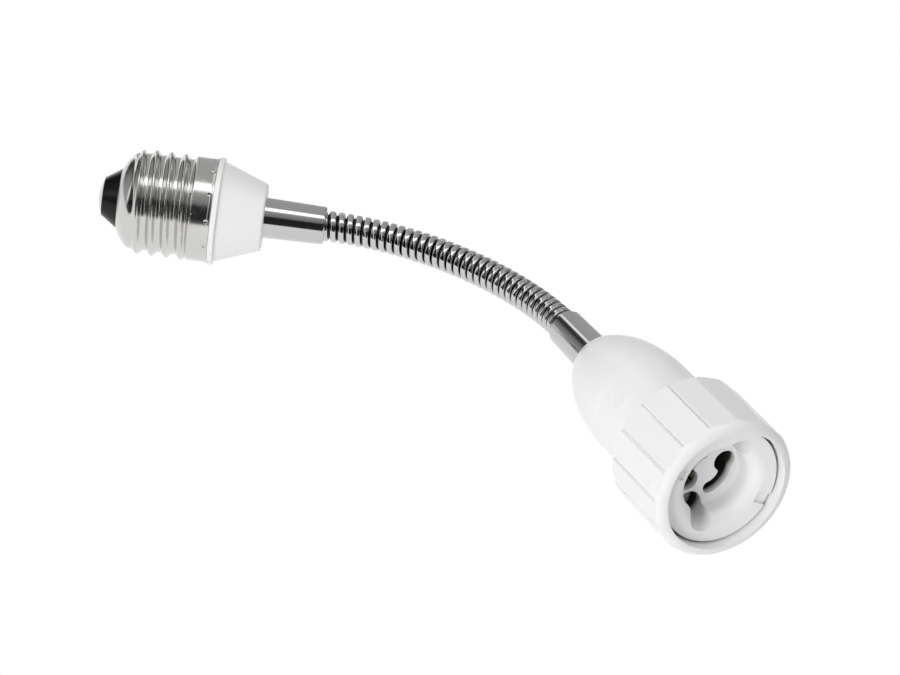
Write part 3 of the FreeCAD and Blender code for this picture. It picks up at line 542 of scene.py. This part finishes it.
link_rows = TURNS_PER_LINK * ROWS_PER_TURN
end_rows = END_TURNS * ROWS_PER_TURN
last_row = link_rows * (len(pivots) - 1)
for number, k in enumerate(swings):
    piece = skin("hose_skin_%02d" % (number + 1),
                 link_rows * (k - 1) + END_ROWS, link_rows * (k + 1) - END_ROWS)
    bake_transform(piece)
    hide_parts("hose_link_%02d" % k, "hose_link_%02d" % (k + 1))
piece = skin("hose_skin_base", -end_rows, -END_ROWS)
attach(piece, bodies[0])
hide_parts("hose_base_end")
piece = skin("hose_skin_socket", last_row + END_ROWS, last_row + end_rows)
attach(piece, bodies[-1])
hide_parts("hose_socket_end")
for number, k in enumerate(range(0, len(pivots), 2)):
    piece = ball("hose_ball_%02d" % (number + 1), k)
    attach(piece, bodies[k])


# Camera

AXIS_SIDE = AXIS_BASE.cross(AXIS_UP)
base_turn = atan2(BASE_ALONG.y, BASE_ALONG.x)
AXIS_X = AXIS_BASE * cos(base_turn) + AXIS_SIDE * sin(base_turn)
AXIS_Y = AXIS_BASE * sin(base_turn) - AXIS_SIDE * cos(base_turn)
to_camera = Matrix((AXIS_X, AXIS_Y, AXIS_UP)).transposed()
from_camera = to_camera.inverted()

camera_data = bpy.data.cameras.new("photo_camera")
camera_data.sensor_width = SENSOR_MM
camera_data.lens = FOCAL_PX / PHOTO_WIDTH * SENSOR_MM
camera_data.clip_start = CLIP_NEAR
camera_data.clip_end = CLIP_FAR
camera = bpy.data.objects.new("photo_camera", camera_data)
bpy.context.scene.collection.objects.link(camera)
camera_place = from_camera.to_4x4()
camera_place.translation = from_camera @ -CAMERA_TO_ORIGIN
camera.matrix_world = camera_place
bpy.context.scene.camera = camera


# Lamps, all hidden from the metal, which mirrors the tent

def area_light(name, place, target, size, power):
    data = bpy.data.lights.new(name, "AREA")
    data.shape = "RECTANGLE"
    data.size, data.size_y = size
    data.energy = power
    light = bpy.data.objects.new(name, data)
    bpy.context.scene.collection.objects.link(light)
    light.matrix_world = (target - place).to_track_quat("-Z", "Y").to_matrix().to_4x4()
    light.matrix_world.translation = place
    light.visible_glossy = False


for name, place, size, power in LAMPS:
    area_light(name, STUDIO_MIDDLE + from_camera @ Vector(place), STUDIO_MIDDLE, size, power)


# Tent

def grey_ramp(tree, source, stops):
    ramp = tree.nodes.new("ShaderNodeValToRGB")
    elements = ramp.color_ramp.elements
    while len(elements) < len(stops):
        elements.new(1.0)
    for element, (position, value) in zip(elements, stops):
        element.position = position
        element.color = (value, value, value, 1)
    tree.links.new(source, ramp.inputs["Fac"])
    return ramp.outputs["Color"]


def tent_material():
    # Glow in bands, read from the tent's own axes, which are the picture's right, up and back.
    material, tree, out = empty_material("studio_tent")
    parts = object_parts(tree)
    angle = combined(tree, "ShaderNodeMath", "ARCTAN2", parts["Y"], parts["Z"], "Value")
    round_share = ranged(tree, angle, (-pi, pi))
    side_share = ranged(tree, parts["X"], (-TENT_R, TENT_R))
    peak = max(value for _, value in TENT_BANDS)
    bands = grey_ramp(tree, round_share,
                      [((degrees + 180) / 360, value / peak) for degrees, value in TENT_BANDS])
    sides = grey_ramp(tree, side_share, [((where + 1) / 2, value) for where, value in TENT_SIDES])
    streaks = grey_ramp(tree, side_share,
                        [((where + 1) / 2, value / peak) for where, value in TENT_STREAKS])
    both = combined(tree, "ShaderNodeVectorMath", "MULTIPLY", bands, sides, "Vector")
    total = combined(tree, "ShaderNodeVectorMath", "ADD", both, streaks, "Vector")
    glow = tree.nodes.new("ShaderNodeEmission")
    glow.inputs["Strength"].default_value = peak
    tree.links.new(total, glow.inputs["Color"])
    tree.links.new(glow.outputs["Emission"], out.inputs["Surface"])
    return material


def studio_tent():
    # Sphere of panels, left open behind the part, where the white background shows in the metal.
    points, faces = [], []
    columns = 2 * TENT_STEPS
    for i in range(TENT_STEPS + 1):
        height = pi * i / TENT_STEPS
        for k in range(columns):
            a = pi * k / TENT_STEPS
            points.append(Vector((cos(height), sin(height) * sin(a), sin(height) * cos(a))) * TENT_R)
    for i in range(TENT_STEPS):
        for k in range(columns):
            n = (k + 1) % columns
            face = [i * columns + k, i * columns + n, (i + 1) * columns + n, (i + 1) * columns + k]
            if sum(points[p].z for p in face) / len(face) > -TENT_OPENING * TENT_R:
                faces.append(face)
    tent = new_object("studio_tent", points, faces)
    tent.matrix_world = Matrix.Translation(STUDIO_MIDDLE) @ from_camera.to_4x4()
    tent.data.materials.append(tent_material())
    tent.visible_camera = False
    return tent


# Floor

def floor_material():
    # Pale floor, white to the camera and in the metal, with a faint shadow left on it.
    material, tree, out = empty_material("pale_floor")
    rays = tree.nodes.new("ShaderNodeLightPath").outputs
    mirrored = combined(
        tree, "ShaderNodeMath", "ADD", rays["Is Glossy Ray"], rays["Is Transmission Ray"], "Value")
    seen = combined(tree, "ShaderNodeMath", "ADD", rays["Is Camera Ray"], mirrored, "Value")
    matt = tree.nodes.new("ShaderNodeBsdfDiffuse")
    matt.inputs["Color"].default_value = (FLOOR_GREY, FLOOR_GREY, FLOOR_GREY, 1)
    shade = tree.nodes.new("ShaderNodeBsdfDiffuse")
    shade.inputs["Color"].default_value = (FLOOR_SHADE, FLOOR_SHADE, FLOOR_SHADE, 1)
    glow = tree.nodes.new("ShaderNodeEmission")
    glow.inputs["Strength"].default_value = FLOOR_GLOW
    white = tree.nodes.new("ShaderNodeAddShader")
    mix = tree.nodes.new("ShaderNodeMixShader")
    tree.links.new(shade.outputs["BSDF"], white.inputs[0])
    tree.links.new(glow.outputs["Emission"], white.inputs[1])
    tree.links.new(seen, mix.inputs["Fac"])
    tree.links.new(matt.outputs["BSDF"], mix.inputs[1])
    tree.links.new(white.outputs["Shader"], mix.inputs[2])
    tree.links.new(mix.outputs["Shader"], out.inputs["Surface"])
    return material


floor = new_object("floor", [
    (-FLOOR_SIZE, -FLOOR_SIZE, FLOOR_Z), (FLOOR_SIZE, -FLOOR_SIZE, FLOOR_Z),
    (FLOOR_SIZE, FLOOR_SIZE, FLOOR_Z), (-FLOOR_SIZE, FLOOR_SIZE, FLOOR_Z)], [(0, 1, 2, 3)], smooth=False)
floor.data.materials.append(floor_material())
studio_tent()

# White background
world = bpy.data.worlds.new("white_background")
bpy.context.scene.world = world
world.use_nodes = True
backdrop = world.node_tree.nodes["Background"]
backdrop.inputs["Color"].default_value = (1, 1, 1, 1)
backdrop.inputs["Strength"].default_value = 1.0

bpy.context.scene.view_settings.view_transform = "Standard"
